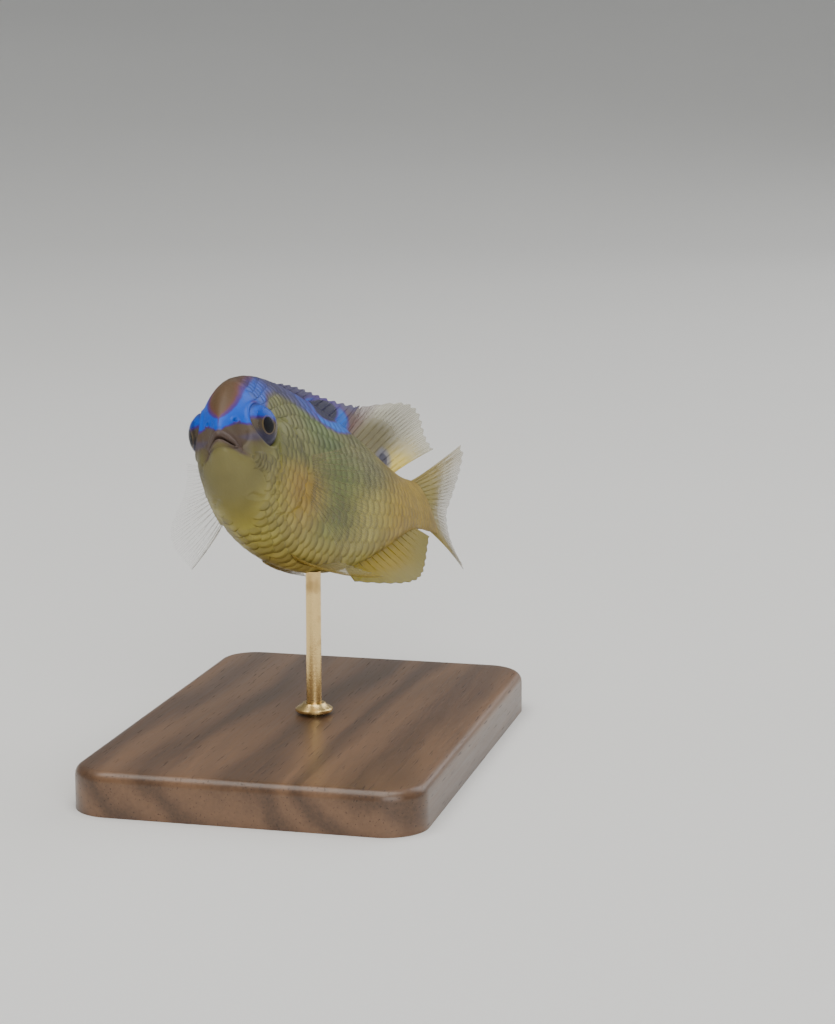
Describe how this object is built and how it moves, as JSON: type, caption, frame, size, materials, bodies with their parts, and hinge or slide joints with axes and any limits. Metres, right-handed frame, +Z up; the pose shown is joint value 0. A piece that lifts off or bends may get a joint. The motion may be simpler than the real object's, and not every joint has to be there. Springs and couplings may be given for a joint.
{
  "type": "surge damselfish display model",
  "caption": "Still, life-size model of a small yellow reef damselfish with blue stripes, banking nose up on a flat base with one short rod.",
  "frame": {"origin": "underside of the stand's base, straight below the top of the rod", "axes": "+X is the way the fish heads, seen from above, +Y is to its left and +Z is up"},
  "size_m": [0.0753, 0.04, 0.0458],
  "materials": {
    "skin": "scaled skin, ochre yellow with green and orange tints, bright blue stripes and a black, blue-edged spot",
    "eye": "clear, wet dome over a dark pupil and a brown and blue iris",
    "dusky_fin": "thin, dark violet web between spines",
    "yellow_fin": "thin yellow web over soft rays, clear towards its edge",
    "clear_fin": "thin, nearly clear web over soft rays",
    "walnut": "satin lacquer",
    "brass": "brushed"
  },
  "bodies": {
    "root": {"head": "skin", "lower_jaw": "skin", "gill_cover_left": "skin", "gill_cover_right": "skin", "trunk": "skin", "tail_stalk": "skin", "eye_left": "eye", "eye_right": "eye", "dorsal_fin_spiny": "dusky_fin", "dorsal_fin_soft": "yellow_fin", "anal_fin": "yellow_fin", "tail_fin": "yellow_fin", "pectoral_fin_left": "clear_fin", "pectoral_fin_right": "clear_fin", "pelvic_fin_left": "clear_fin", "pelvic_fin_right": "clear_fin", "stand_base": "walnut", "stand_rod": "brass", "stand_collar": "brass"}
  },
  "joints": []
}
